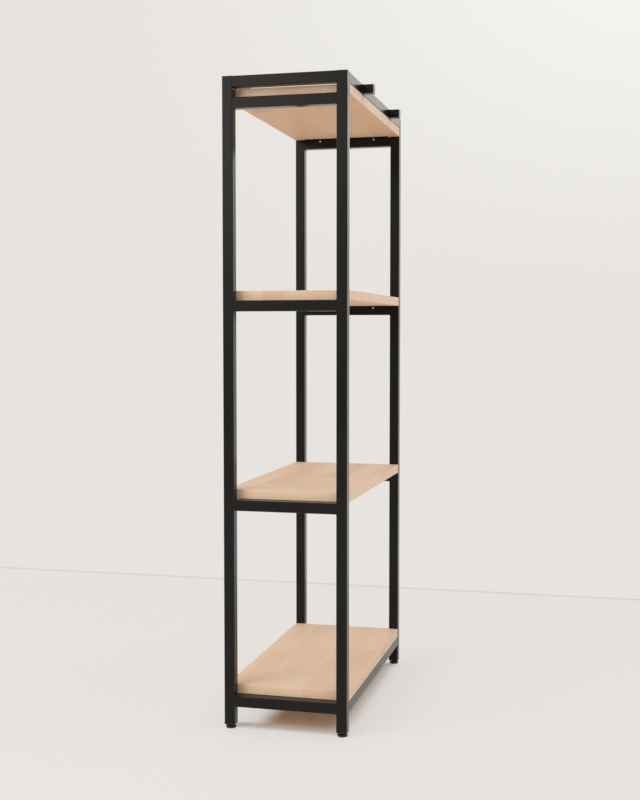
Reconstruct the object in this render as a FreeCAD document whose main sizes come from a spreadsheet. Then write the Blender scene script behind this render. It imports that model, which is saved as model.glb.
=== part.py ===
import FreeCAD, Part
import math
import os
import Sketcher

# Shelving unit of square steel tube with four wooden boards.
# Millimetres. Origin on the floor under the middle of the unit, +Z up, +X to the right, +Y to the wall.

doc = FreeCAD.newDocument("shelving_unit")
sheet = doc.addObject("Spreadsheet::Sheet", "sizes")

driving_sizes = {
    # overall, without the wall spacers
    "unit_width": 800,
    "unit_depth": 350,
    "unit_height": 1800,
    # square tube of posts, crossbars and rails
    "tube_side": 30,
    "tube_wall": 2,
    "tube_corner": 2.5,
    "tube_bore_corner": 0.8,
    # clear height from the frame's underside to the bottom crossbars
    "bottom_clear": 51.2,
    # wooden boards
    "board_thick": 27,
    "board_round": 1.5,
    "board_end_gap": 1,
    "board_headroom": 0.5,
    # plates that close the upper ends of the posts
    "cap_thick": 3,
    "plug_clear": 0.1,
    # wall spacers on the rear head rail
    "spacer_side": 25,
    "spacer_wall": 2,
    "spacer_corner": 2,
    "spacer_bore_corner": 0.8,
    "spacer_pitch": 400,
    "wall_gap": 32,
    "spacer_plate": 3,
    "wall_hole": 6.5,
    # angle ledges under the boards' ends
    "ledge_leg": 15,
    "ledge_thick": 2,
    "ledge_bend": 1,
    "ledge_end_gap": 5,
    "ledge_seat_gap": 0.1,
    # their screws and nuts, set in from the crossbars' ends and down from the crossbars' tops
    "screw_inset": 55,
    "screw_drop": 6.5,
    "screw_diameter": 5,
    "screw_reach": 12,
    "screw_hole_clear": 0.2,
    "screw_head_diameter": 7,
    "screw_head_height": 2.6,
    "screw_head_round": 1.2,
    "screw_socket_radius": 1.75,
    "screw_socket_depth": 1.4,
    "nut_diameter": 7,
    "nut_length": 14,
    "nut_flange_diameter": 10,
    "nut_flange_thick": 0.4,
    "nut_clear": 0.05,
    # levelling feet
    "insert_flange": 2.5,
    "insert_plug": 22,
    "stud_diameter": 8,
    "stud_reach": 30,
    "stud_seat": 4.5,
    "stud_chamfer": 1,
    "thread_clear": 0.05,
    "hex_radius": 7.5,
    "hex_height": 4,
    "hex_clear": 0.4,
    "foot_gap": 4.3,
    "pad_diameter": 28.5,
    "pad_height": 7,
    "pad_top_round": 2.5,
    "pad_base_round": 1.5,
    "pad_clear": 0.05,
}
for row, (alias, value) in enumerate(driving_sizes.items(), start=1):
    sheet.set(f"A{row}", alias)
    sheet.set(f"B{row}", str(value))
    sheet.setAlias(f"B{row}", alias)
doc.recompute()

# Places worked out from the driving sizes
mid_y = "(-sizes.wall_gap / 2)"
post_x = "((sizes.unit_width - sizes.tube_side) / 2)"
post_y = "((sizes.unit_depth - sizes.tube_side) / 2)"
inner_x = "(sizes.unit_width / 2 - sizes.tube_side)"
frame_base = "(sizes.pad_height + sizes.foot_gap)"
frame_top = "sizes.unit_height"
head_z = f"({frame_top} - sizes.tube_side / 2)"
bottom_level = f"({frame_base} + sizes.bottom_clear + sizes.tube_side)"
top_level = f"({frame_top} - sizes.tube_side - sizes.board_thick - sizes.board_headroom)"
crossbar_length = "(sizes.unit_depth - 2 * sizes.tube_side)"
rail_length = "(sizes.unit_width - 2 * sizes.tube_side)"
tube_bore = "(sizes.tube_side - 2 * sizes.tube_wall)"
tube_plug = f"({tube_bore} - 2 * sizes.plug_clear)"
spacer_bore = "(sizes.spacer_side - 2 * sizes.spacer_wall)"

shelf_names = ("bottom", "lower", "upper", "top")
shelf_steps = len(shelf_names) - 1
shelf_levels = {
    name: f"({bottom_level} + ({top_level} - {bottom_level}) * {step} / {shelf_steps})"
    for step, name in enumerate(shelf_names)
}
# distance between the two ledge screws of a crossbar, and their height above its middle
screw_pitch = f"({crossbar_length} - 2 * sizes.screw_inset)"
screw_rise = "(sizes.tube_side / 2 - sizes.screw_drop)"

upright = FreeCAD.Rotation()
# local Z along the depth or along the width, local Y up
along_depth = FreeCAD.Rotation(FreeCAD.Vector(1, 0, 0), 90)
along_width = FreeCAD.Rotation(FreeCAD.Vector(1, 1, 1), 120)
half_turn = FreeCAD.Rotation(FreeCAD.Vector(0, 0, 1), 180)

sides = {"left": "-1", "right": "1"}
depths = {"front": "-1", "rear": "1"}

nodes = {}


def place(obj, rotation, x, y, z):
    """Turn an object and tie its place to the sheet."""
    obj.Placement = FreeCAD.Placement(FreeCAD.Vector(0, 0, 0), rotation)
    for axis, expression in zip("xyz", (x, y, z)):
        obj.setExpression(f"Placement.Base.{axis}", expression)


def new_body(label):
    body = doc.addObject("PartDesign::Body", label)
    body.Label = label
    return body


def new_node(label):
    body = new_body(label)
    nodes[label] = body
    return body


def new_sketch(body, name, role="XY_Plane"):
    sketch = body.newObject("Sketcher::SketchObject", name)
    plane = next(feature for feature in body.Origin.OriginFeatures if feature.Role == role)
    sketch.AttachmentSupport = [(plane, "")]
    sketch.MapMode = "FlatFace"
    return sketch


def drive(sketch, name, constraint, expression):
    """Add a named dimension to a sketch and tie it to the sheet."""
    index = sketch.addConstraint(constraint)
    sketch.renameConstraint(index, name)
    sketch.setExpression(f"Constraints.{name}", expression)


def draw_rounded_square(sketch, prefix, side, corner):
    """Square with round corners about the sketch's origin: four lines, then four arcs."""
    half, radius = 10.0, 2.0
    flat = half - radius
    first = sketch.GeometryCount
    line_ends = [
        ((-flat, -half), (flat, -half)),
        ((half, -flat), (half, flat)),
        ((flat, half), (-flat, half)),
        ((-half, flat), (-half, -flat)),
    ]
    for start, end in line_ends:
        sketch.addGeometry(Part.LineSegment(FreeCAD.Vector(*start, 0), FreeCAD.Vector(*end, 0)))
    quarter = math.pi / 2
    for turn, (cx, cy) in enumerate(((flat, -flat), (flat, flat), (-flat, flat), (-flat, -flat))):
        circle = Part.Circle(FreeCAD.Vector(cx, cy, 0), FreeCAD.Vector(0, 0, 1), radius)
        sketch.addGeometry(Part.ArcOfCircle(circle, (turn - 1) * quarter, turn * quarter))
    lines = [first + i for i in range(4)]
    arcs = [first + 4 + i for i in range(4)]
    for i in range(4):
        following = lines[(i + 1) % 4]
        sketch.addConstraint(Sketcher.Constraint("Tangent", lines[i], 2, arcs[i], 1))
        sketch.addConstraint(Sketcher.Constraint("Tangent", arcs[i], 2, following, 1))
        sketch.addConstraint(Sketcher.Constraint("Horizontal" if i % 2 == 0 else "Vertical", lines[i]))
    for arc in arcs[1:]:
        sketch.addConstraint(Sketcher.Constraint("Equal", arcs[0], arc))
    bottom, right, top, left = lines
    sketch.addConstraint(Sketcher.Constraint("Symmetric", bottom, 1, top, 1, -1, 1))
    drive(sketch, f"{prefix}_corner", Sketcher.Constraint("Radius", arcs[0], radius), corner)
    drive(sketch, f"{prefix}_width", Sketcher.Constraint("DistanceX", left, 1, right, 1, 2 * half), side)
    drive(sketch, f"{prefix}_height", Sketcher.Constraint("DistanceY", bottom, 1, top, 1, 2 * half), side)


def draw_rectangle(sketch, width, height):
    """Rectangle about the sketch's origin."""
    half = 10.0
    corners = [(-half, -half), (half, -half), (half, half), (-half, half)]
    points = [FreeCAD.Vector(x, y, 0) for x, y in corners]
    for i in range(4):
        sketch.addGeometry(Part.LineSegment(points[i], points[(i + 1) % 4]))
    for i in range(4):
        sketch.addConstraint(Sketcher.Constraint("Coincident", i, 2, (i + 1) % 4, 1))
        sketch.addConstraint(Sketcher.Constraint("Horizontal" if i % 2 == 0 else "Vertical", i))
    sketch.addConstraint(Sketcher.Constraint("Symmetric", 0, 1, 2, 1, -1, 1))
    drive(sketch, "width", Sketcher.Constraint("DistanceX", 0, 1, 0, 2, 2 * half), width)
    drive(sketch, "height", Sketcher.Constraint("DistanceY", 1, 1, 1, 2, 2 * half), height)


def draw_circle(sketch, name, diameter):
    """Circle on the sketch's origin."""
    index = sketch.addGeometry(Part.Circle(FreeCAD.Vector(0, 0, 0), FreeCAD.Vector(0, 0, 1), 5.0))
    sketch.addConstraint(Sketcher.Constraint("Coincident", index, 3, -1, 1))
    drive(sketch, name, Sketcher.Constraint("Diameter", index, 10.0), diameter)


def draw_hole_pair(sketch, diameter, pitch, rise=None):
    """Two equal circles, mirrored about the sketch's first axis and moved along it by the rise."""
    start_x = 5.0 if rise else 0.0
    start_y = 50.0
    for y in (start_y, -start_y):
        sketch.addGeometry(Part.Circle(FreeCAD.Vector(start_x, y, 0), FreeCAD.Vector(0, 0, 1), 2.0))
    sketch.addConstraint(Sketcher.Constraint("Equal", 0, 1))
    sketch.addConstraint(Sketcher.Constraint("Symmetric", 0, 3, 1, 3, -1))
    if rise:
        drive(sketch, "rise", Sketcher.Constraint("DistanceX", -1, 1, 0, 3, start_x), rise)
    else:
        sketch.addConstraint(Sketcher.Constraint("PointOnObject", 0, 3, -2))
    drive(sketch, "pitch", Sketcher.Constraint("DistanceY", 1, 3, 0, 3, 2 * start_y), pitch)
    drive(sketch, "hole", Sketcher.Constraint("Diameter", 0, 4.0), diameter)


def pad_sketch(body, name, sketch, length, symmetric=False, reverse=False):
    pad = body.newObject("PartDesign::Pad", name)
    pad.Profile = sketch
    pad.SideType = "Symmetric" if symmetric else "One side"
    pad.Reversed = reverse
    pad.setExpression("Length", length)
    return pad


def pocket_sketch(body, name, sketch, length=None, symmetric=False, reverse=False):
    """Cut a sketch out of the body, through all of it where no length is given."""
    doc.recompute()
    before = body.Shape.Volume
    pocket = body.newObject("PartDesign::Pocket", name)
    pocket.Profile = sketch
    pocket.SideType = "Symmetric" if symmetric else "One side"
    pocket.Reversed = reverse
    if length:
        pocket.Type = "Length"
        pocket.setExpression("Length", length)
    else:
        pocket.Type = "ThroughAll"
    doc.recompute()
    if not body.Shape.Volume < before:
        raise RuntimeError(f"{body.Label}: {name} cuts nothing")
    return pocket


def round_edges(body, name, base, radius, wanted):
    """Round the edges of a feature that the test picks."""
    doc.recompute()
    picked = [f"Edge{i}" for i, edge in enumerate(base.Shape.Edges, start=1) if wanted(edge)]
    fillet = body.newObject("PartDesign::Fillet", name)
    fillet.Base = (base, picked)
    fillet.setExpression("Radius", radius)
    return fillet


def bevel_edges(body, name, base, size, wanted):
    """Chamfer the edges of a feature that the test picks."""
    doc.recompute()
    picked = [f"Edge{i}" for i, edge in enumerate(base.Shape.Edges, start=1) if wanted(edge)]
    chamfer = body.newObject("PartDesign::Chamfer", name)
    chamfer.Base = (base, picked)
    chamfer.setExpression("Size", size)
    return chamfer


def circle_at(radius, height):
    """Test for a round edge of this radius about the body's Z axis at this height."""
    def wanted(edge):
        if not isinstance(edge.Curve, Part.Circle):
            return False
        centre = edge.Curve.Center
        same_radius = abs(edge.Curve.Radius - radius) < 1e-6
        return same_radius and abs(centre.z - height) < 1e-6
    return wanted


def make_tube(label, length, side, corner, bore, bore_corner):
    """Square tube along local Z, centred on its origin."""
    body = new_node(label)
    section = new_sketch(body, f"{label}_section")
    draw_rounded_square(section, "outer", side, corner)
    draw_rounded_square(section, "bore", bore, bore_corner)
    pad_sketch(body, f"{label}_pad", section, length, symmetric=True)
    return body


def make_frame_tube(label, length):
    return make_tube(label, length, "sizes.tube_side", "sizes.tube_corner",
                     tube_bore, "sizes.tube_bore_corner")


def make_posts():
    foot = f"({frame_base} + sizes.insert_flange)"
    length = f"{frame_top} - {foot}"
    middle = f"({frame_top} + {foot}) / 2"
    for depth, depth_sign in depths.items():
        for side, side_sign in sides.items():
            post = make_frame_tube(f"{depth}_{side}_post", length)
            place(post, upright, f"{side_sign} * {post_x}", f"{mid_y} + {depth_sign} * {post_y}", middle)


def make_post_caps():
    """Plates let in flush with the posts' upper ends."""
    for depth, depth_sign in depths.items():
        for side, side_sign in sides.items():
            label = f"{depth}_{side}_post_cap"
            cap = new_node(label)
            outline = new_sketch(cap, f"{label}_outline")
            draw_rounded_square(outline, "plate", tube_plug, "sizes.tube_bore_corner")
            pad_sketch(cap, f"{label}_pad", outline, "sizes.cap_thick", reverse=True)
            place(cap, upright, f"{side_sign} * {post_x}", f"{mid_y} + {depth_sign} * {post_y}", frame_top)


def place_across(body, side, height):
    """Put a piece that runs along the depth on an end frame, its local X pointing into the unit."""
    rotation = along_depth if side == "left" else half_turn * along_depth
    place(body, rotation, f"{sides[side]} * {post_x}", mid_y, height)


def make_crossbars():
    """Five crossbars at each end; those under the boards have holes for rivet nuts."""
    bar_heights = {name: f"{level} - sizes.tube_side / 2" for name, level in shelf_levels.items()}
    bar_heights["head"] = head_z
    nut_hole = "sizes.nut_diameter + 2 * sizes.nut_clear"
    for side in sides:
        for name, height in bar_heights.items():
            label = f"{side}_{name}_crossbar"
            bar = make_frame_tube(label, crossbar_length)
            if name in shelf_levels:
                holes = new_sketch(bar, f"{label}_holes", "YZ_Plane")
                draw_hole_pair(holes, nut_hole, screw_pitch, screw_rise)
                pocket_sketch(bar, f"{label}_nut_holes", holes, reverse=True)
            place_across(bar, side, height)


def make_rails():
    """Long rails at the bottom and at the head, front and rear, butted between the posts."""
    rail_heights = {"bottom": f"{bottom_level} - sizes.tube_side / 2", "head": head_z}
    for depth, depth_sign in depths.items():
        for name, height in rail_heights.items():
            label = f"{depth}_{name}_rail"
            rail = make_frame_tube(label, rail_length)
            if label == "rear_head_rail":
                holes = new_sketch(rail, f"{label}_holes", "YZ_Plane")
                draw_hole_pair(holes, "sizes.wall_hole", "sizes.spacer_pitch")
                pocket_sketch(rail, f"{label}_wall_holes", holes, symmetric=True)
            place(rail, along_width, "0", f"{mid_y} + {depth_sign} * {post_y}", height)


def make_boards():
    """Boards between the end frames, as deep as the frame, with every edge rounded."""
    for name, level in shelf_levels.items():
        label = f"{name}_shelf_board"
        board = new_node(label)
        outline = new_sketch(board, f"{label}_outline")
        draw_rectangle(outline, f"{rail_length} - 2 * sizes.board_end_gap", "sizes.unit_depth")
        slab = pad_sketch(board, f"{label}_slab", outline, "sizes.board_thick")
        round_edges(board, f"{label}_round", slab, "sizes.board_round", lambda edge: True)
        place(board, upright, "0", mid_y, level)


def make_wall_spacers():
    """Short tubes on the rear face of the rear head rail, each closed by a drilled plate."""
    rail_back = f"{mid_y} + sizes.unit_depth / 2"
    length = "(sizes.wall_gap - sizes.spacer_plate)"
    for side, side_sign in sides.items():
        x = f"{side_sign} * sizes.spacer_pitch / 2"
        spacer = make_tube(f"{side}_wall_spacer", length, "sizes.spacer_side", "sizes.spacer_corner",
                           spacer_bore, "sizes.spacer_bore_corner")
        place(spacer, along_depth, x, f"{rail_back} + {length} / 2", head_z)
        label = f"{side}_spacer_plate"
        plate = new_node(label)
        outline = new_sketch(plate, f"{label}_outline")
        draw_rounded_square(outline, "plate", "sizes.spacer_side", "sizes.spacer_corner")
        draw_circle(outline, "hole", "sizes.wall_hole")
        pad_sketch(plate, f"{label}_pad", outline, "sizes.spacer_plate", symmetric=True)
        place(plate, along_depth, x, f"{rail_back} + {length} + sizes.spacer_plate / 2", head_z)


def draw_angle(sketch, leg, thick, out, up):
    """Angle section: its outer corner at (out, up), one leg along +X and one down."""
    corner = FreeCAD.Vector(16.0, 14.0, 0)
    start_leg, start_thick = 12.0, 3.0
    steps = [
        (0, 0), (start_leg, 0), (start_leg, -start_thick),
        (start_thick, -start_thick), (start_thick, -start_leg), (0, -start_leg),
    ]
    points = [corner + FreeCAD.Vector(x, y, 0) for x, y in steps]
    count = len(points)
    for i in range(count):
        sketch.addGeometry(Part.LineSegment(points[i], points[(i + 1) % count]))
    for i in range(count):
        sketch.addConstraint(Sketcher.Constraint("Coincident", i, 2, (i + 1) % count, 1))
        sketch.addConstraint(Sketcher.Constraint("Horizontal" if i % 2 == 0 else "Vertical", i))
    upper, tip, sole, back = 0, 1, 4, 5
    drive(sketch, "out", Sketcher.Constraint("DistanceX", -1, 1, upper, 1, corner.x), out)
    drive(sketch, "up", Sketcher.Constraint("DistanceY", -1, 1, upper, 1, corner.y), up)
    drive(sketch, "upper_leg", Sketcher.Constraint("DistanceX", upper, 1, upper, 2, start_leg), leg)
    drive(sketch, "lower_leg", Sketcher.Constraint("DistanceY", back, 1, back, 2, start_leg), leg)
    drive(sketch, "upper_thick", Sketcher.Constraint("DistanceY", tip, 2, tip, 1, start_thick), thick)
    drive(sketch, "lower_thick", Sketcher.Constraint("DistanceX", sole, 2, sole, 1, start_thick), thick)


def make_ledges():
    """Angles on the crossbars under the boards, for the boards' ends to lie on."""
    back = "sizes.tube_side / 2 + sizes.nut_flange_thick"
    seat = "sizes.tube_side / 2 - sizes.ledge_seat_gap"
    length = f"{crossbar_length} - 2 * sizes.ledge_end_gap"
    screw_hole = "sizes.screw_diameter + 2 * sizes.screw_hole_clear"
    bend_x = sheet.tube_side / 2 + sheet.nut_flange_thick
    bend_y = sheet.tube_side / 2 - sheet.ledge_seat_gap

    def is_bend(edge):
        middle = edge.CenterOfMass
        return abs(middle.x - bend_x) < 1e-6 and abs(middle.y - bend_y) < 1e-6

    for side in sides:
        for name in shelf_names:
            label = f"{side}_{name}_ledge"
            ledge = new_node(label)
            section = new_sketch(ledge, f"{label}_section")
            draw_angle(section, "sizes.ledge_leg", "sizes.ledge_thick", back, seat)
            angle = pad_sketch(ledge, f"{label}_angle", section, length, symmetric=True)
            bend = round_edges(ledge, f"{label}_bend", angle, "sizes.ledge_bend", is_bend)
            ledge.Tip = bend
            holes = new_sketch(ledge, f"{label}_holes", "YZ_Plane")
            draw_hole_pair(holes, screw_hole, screw_pitch, screw_rise)
            pocket_sketch(ledge, f"{label}_screw_holes", holes, reverse=True)
            place_across(ledge, side, f"{shelf_levels[name]} - sizes.tube_side / 2")


def make_ledge_screw(label):
    """Socket screw of a ledge: head outwards from local Z = 0, shank inwards."""
    body = new_body(label)
    head_ring = new_sketch(body, f"{label}_head_ring")
    draw_circle(head_ring, "head", "sizes.screw_head_diameter")
    head = pad_sketch(body, f"{label}_head", head_ring, "sizes.screw_head_height")
    head_edge = circle_at(sheet.screw_head_diameter / 2, sheet.screw_head_height)
    dome = round_edges(body, f"{label}_dome", head, "sizes.screw_head_round", head_edge)
    body.Tip = dome
    shank_ring = new_sketch(body, f"{label}_shank_ring")
    draw_circle(shank_ring, "shank", "sizes.screw_diameter")
    pad_sketch(body, f"{label}_shank", shank_ring, "sizes.screw_reach", reverse=True)
    doc.recompute()
    before = body.Shape.Volume
    socket = body.newObject("PartDesign::SubtractivePrism", f"{label}_socket")
    socket.Polygon = 6
    socket.setExpression("Circumradius", "sizes.screw_socket_radius")
    socket.setExpression("Height", "sizes.screw_socket_depth")
    socket.setExpression("Placement.Base.z", "sizes.screw_head_height - sizes.screw_socket_depth")
    doc.recompute()
    if not body.Shape.Volume < before:
        raise RuntimeError(f"{label}: the socket cuts nothing")
    return body


def make_rivet_nut(label):
    """Flanged rivet nut: flange outwards from local Z = 0, body inwards, bored through."""
    body = new_body(label)
    flange_ring = new_sketch(body, f"{label}_flange_ring")
    draw_circle(flange_ring, "flange", "sizes.nut_flange_diameter")
    pad_sketch(body, f"{label}_flange", flange_ring, "sizes.nut_flange_thick")
    body_ring = new_sketch(body, f"{label}_body_ring")
    draw_circle(body_ring, "outside", "sizes.nut_diameter")
    pad_sketch(body, f"{label}_barrel", body_ring, "sizes.nut_length", reverse=True)
    bore = new_sketch(body, f"{label}_bore")
    draw_circle(bore, "bore", "sizes.screw_diameter + 2 * sizes.thread_clear")
    pocket_sketch(body, f"{label}_hole", bore, symmetric=True)
    return body


def mirror(label, source, normal, base_y="0"):
    image = doc.addObject("Part::Mirroring", label)
    image.Source = source
    image.Normal = normal
    image.setExpression("Base.y", base_y)
    return image


def group_of_four(label, solid):
    """Node of one solid and its images at the other end, in the other half, and in both."""
    across = mirror(f"{label}_across", solid, FreeCAD.Vector(1, 0, 0))
    behind = mirror(f"{label}_behind", solid, FreeCAD.Vector(0, 1, 0), mid_y)
    opposite = mirror(f"{label}_opposite", across, FreeCAD.Vector(0, 1, 0), mid_y)
    group = doc.addObject("Part::Compound", label)
    group.Label = label
    group.Links = [solid, across, behind, opposite]
    nodes[label] = group


def make_ledge_fixings():
    """Rivet nut and screw at two places on each crossbar that carries a ledge."""
    inwards = FreeCAD.Rotation(FreeCAD.Vector(0, 1, 0), -90)
    y = f"{mid_y} + {screw_pitch} / 2"
    head_x = f"{inner_x} - sizes.nut_flange_thick - sizes.ledge_thick"
    for name in shelf_names:
        z = f"{shelf_levels[name]} - sizes.screw_drop"
        nut = make_rivet_nut(f"{name}_rivet_nut")
        place(nut, inwards, inner_x, y, z)
        screw = make_ledge_screw(f"{name}_ledge_screw")
        place(screw, inwards, head_x, y, z)
        group_of_four(f"{name}_rivet_nuts", nut)
        group_of_four(f"{name}_ledge_screws", screw)


def make_foot_insert(label):
    """Threaded plug in a post's lower end, flanged, with a recess for the stud's hexagon."""
    body = new_node(label)
    flange_outline = new_sketch(body, f"{label}_flange_outline")
    draw_rounded_square(flange_outline, "flange", "sizes.tube_side", "sizes.tube_corner")
    pad_sketch(body, f"{label}_flange", flange_outline, "sizes.insert_flange")
    plug_outline = new_sketch(body, f"{label}_plug_outline")
    draw_rounded_square(plug_outline, "plug", tube_plug, "sizes.tube_bore_corner")
    pad_sketch(body, f"{label}_plug", plug_outline, "sizes.insert_flange + sizes.insert_plug")
    bore = new_sketch(body, f"{label}_bore")
    draw_circle(bore, "thread", "sizes.stud_diameter + 2 * sizes.thread_clear")
    pocket_sketch(body, f"{label}_hole", bore, reverse=True)
    recess = new_sketch(body, f"{label}_recess")
    draw_circle(recess, "recess", "2 * (sizes.hex_radius + sizes.hex_clear)")
    pocket_sketch(body, f"{label}_hex_recess", recess, "sizes.hex_height + sizes.hex_clear", reverse=True)
    return body


def make_foot_stud(label):
    """Stud with a hexagon that sits on the pad: local Z = 0 is the hexagon's underside."""
    body = new_node(label)
    ring = new_sketch(body, f"{label}_ring")
    draw_circle(ring, "thread", "sizes.stud_diameter")
    shank = pad_sketch(body, f"{label}_shank", ring, "sizes.hex_height + sizes.stud_reach")
    tip_edge = circle_at(sheet.stud_diameter / 2, sheet.hex_height + sheet.stud_reach)
    tip = bevel_edges(body, f"{label}_tip", shank, "sizes.stud_chamfer", tip_edge)
    body.Tip = tip
    seat_ring = new_sketch(body, f"{label}_seat_ring")
    draw_circle(seat_ring, "seat", "sizes.stud_diameter")
    pad_sketch(body, f"{label}_seat", seat_ring, "sizes.stud_seat", reverse=True)
    collar = body.newObject("PartDesign::AdditivePrism", f"{label}_hexagon")
    collar.Polygon = 6
    collar.setExpression("Circumradius", "sizes.hex_radius")
    collar.setExpression("Height", "sizes.hex_height")
    return body


def make_foot_pad(label):
    """Round pad on the floor with a blind hole for the stud's lower end."""
    body = new_node(label)
    ring = new_sketch(body, f"{label}_ring")
    draw_circle(ring, "outside", "sizes.pad_diameter")
    disc = pad_sketch(body, f"{label}_disc", ring, "sizes.pad_height - sizes.pad_clear")
    pad_radius = sheet.pad_diameter / 2
    top_edge = circle_at(pad_radius, sheet.pad_height - sheet.pad_clear)
    shoulder = round_edges(body, f"{label}_shoulder", disc, "sizes.pad_top_round", top_edge)
    body.Tip = shoulder
    sole = round_edges(body, f"{label}_sole", shoulder, "sizes.pad_base_round", circle_at(pad_radius, 0))
    body.Tip = sole
    seat = new_sketch(body, f"{label}_seat")
    draw_circle(seat, "seat", "sizes.stud_diameter + 2 * sizes.pad_clear")
    seat.AttachmentOffset = FreeCAD.Placement()
    seat.setExpression("AttachmentOffset.Base.z", "sizes.pad_height")
    pocket_sketch(body, f"{label}_hole", seat, "sizes.stud_seat + sizes.pad_clear")
    return body


def make_feet():
    for depth, depth_sign in depths.items():
        for side, side_sign in sides.items():
            x = f"{side_sign} * {post_x}"
            y = f"{mid_y} + {depth_sign} * {post_y}"
            place(make_foot_insert(f"{depth}_{side}_foot_insert"), upright, x, y, frame_base)
            place(make_foot_stud(f"{depth}_{side}_foot_stud"), upright, x, y, "sizes.pad_height")
            place(make_foot_pad(f"{depth}_{side}_foot_pad"), upright, x, y, "0")


make_posts()
make_post_caps()
make_crossbars()
make_rails()
make_boards()
make_wall_spacers()
make_ledges()
make_ledge_fixings()
make_feet()
doc.recompute()

for obj in doc.Objects:
    if "Invalid" in obj.State or "Error" in obj.State:
        raise RuntimeError(f"{obj.Label} failed: {obj.State}")
for label, obj in nodes.items():
    if obj.Shape.isNull() or not obj.Shape.isValid():
        raise RuntimeError(f"{label} has no valid shape")

os.makedirs("parts", exist_ok=True)
for label, obj in nodes.items():
    obj.Shape.exportStep(f"parts/{label}.step")
print(f"{len(nodes)} nodes written")
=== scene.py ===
import math
import bmesh
import bpy
from mathutils import Matrix, Vector


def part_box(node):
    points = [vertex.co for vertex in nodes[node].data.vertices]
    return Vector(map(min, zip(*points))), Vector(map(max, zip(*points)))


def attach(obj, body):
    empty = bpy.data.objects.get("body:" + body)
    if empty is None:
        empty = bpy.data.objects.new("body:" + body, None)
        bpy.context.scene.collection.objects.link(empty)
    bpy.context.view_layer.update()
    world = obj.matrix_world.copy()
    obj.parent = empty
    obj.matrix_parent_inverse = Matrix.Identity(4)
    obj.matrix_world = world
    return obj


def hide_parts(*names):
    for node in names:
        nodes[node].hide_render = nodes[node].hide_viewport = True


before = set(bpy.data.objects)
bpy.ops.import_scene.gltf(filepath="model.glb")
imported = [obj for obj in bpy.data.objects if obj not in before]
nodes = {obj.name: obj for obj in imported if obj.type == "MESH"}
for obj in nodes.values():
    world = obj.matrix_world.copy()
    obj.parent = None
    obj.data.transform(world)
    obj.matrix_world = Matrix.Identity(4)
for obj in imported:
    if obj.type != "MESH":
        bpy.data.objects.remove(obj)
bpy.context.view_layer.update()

scene = bpy.context.scene
depths = ("front", "rear")
sides = ("left", "right")
shelves = ("bottom", "lower", "upper", "top")
corners = [(depth, side) for depth in depths for side in sides]
quarter = math.pi / 2
touching = 1e-6  # points closer than this count as one
print("frame loaded:", len(nodes), "nodes")


class Val:  # one socket, so that sums on it read as plain Python
    def __init__(self, book, socket):
        self.book = book
        self.socket = socket

    def pair(self, operation, first, second):
        return self.book.add("ShaderNodeMath", {"operation": operation}, {0: first, 1: second})

    def __add__(self, other):
        return self.pair("ADD", self, other)

    __radd__ = __add__

    def __sub__(self, other):
        return self.pair("SUBTRACT", self, other)

    def __rsub__(self, other):
        return self.pair("SUBTRACT", other, self)

    def __mul__(self, other):
        return self.pair("MULTIPLY", self, other)

    __rmul__ = __mul__

    def __truediv__(self, other):
        return self.pair("DIVIDE", self, other)

    def __rtruediv__(self, other):
        return self.pair("DIVIDE", other, self)

    def __pow__(self, other):
        return self.pair("POWER", self, other)

    def __gt__(self, other):
        return self.pair("GREATER_THAN", self, other)

    def __lt__(self, other):
        return self.pair("LESS_THAN", self, other)

    def __abs__(self):
        return self.alone("ABSOLUTE")

    def __floor__(self):
        return self.alone("FLOOR")

    def alone(self, operation):
        return self.book.add("ShaderNodeMath", {"operation": operation}, {0: self})

    def least(self, other):
        return self.pair("MINIMUM", self, other)

    def most(self, other):
        return self.pair("MAXIMUM", self, other)

    def out(self, name):  # another output of the same node
        return Val(self.book, self.socket.node.outputs[name])


class NodeBook:  # adds nodes to one tree
    def __init__(self, tree):
        self.tree = tree

    def add(self, kind, settings=None, sockets=None, out=0):
        node = self.tree.nodes.new(kind)
        for key, value in (settings or {}).items():
            setattr(node, key, value)
        for key, value in (sockets or {}).items():
            if isinstance(value, Val):
                self.tree.links.new(value.socket, node.inputs[key])
            else:
                node.inputs[key].default_value = value
        return Val(self, node.outputs[out]) if node.outputs else node

    def split(self, vector):
        parts = self.add("ShaderNodeSeparateXYZ", None, {0: vector})
        return parts, parts.out("Y"), parts.out("Z")

    def noise(self, place, scale, detail, rough=0.5):
        stretched = self.add("ShaderNodeMapping", None, {"Vector": place, "Scale": scale})
        return self.add("ShaderNodeTexNoise", None,
                        {"Vector": stretched, "Scale": 1.0, "Detail": detail, "Roughness": rough})

    def luck(self, seed):  # three chance values from one seed
        chance = self.add("ShaderNodeTexWhiteNoise", {"noise_dimensions": "1D"},
                          {"W": seed}, out="Color")
        return self.split(chance)

    def ease(self, value, start, end):  # smooth step, 0 at start and 1 at end
        return self.add("ShaderNodeMapRange", {"interpolation_type": "SMOOTHSTEP"},
                        {0: value, 1: start, 2: end})

    def mix(self, factor, first, second, blend="MIX"):
        return self.add("ShaderNodeMix", {"data_type": "RGBA", "blend_type": blend},
                        {0: factor, 6: first, 7: second}, out=2)

    def tinted(self, colour, share, tint):
        return self.mix(share, colour, tint, "MULTIPLY")

    def join(self, first, second):
        both = self.add("GeometryNodeJoinGeometry", None, {0: first})
        self.tree.links.new(second.socket, both.socket.node.inputs[0])
        return both

    def bump(self, height, distance):
        return self.add("ShaderNodeBump", None,
                        {"Height": height, "Distance": distance, "Strength": 1.0})


def newLook(name):
    material = bpy.data.materials.new(name)
    material.use_nodes = True
    material.node_tree.nodes.clear()
    return material, NodeBook(material.node_tree)


def closeLook(book, sockets):
    shader = book.add("ShaderNodeBsdfPrincipled", None, sockets)
    book.add("ShaderNodeOutputMaterial", None, {"Surface": shader})


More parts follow.
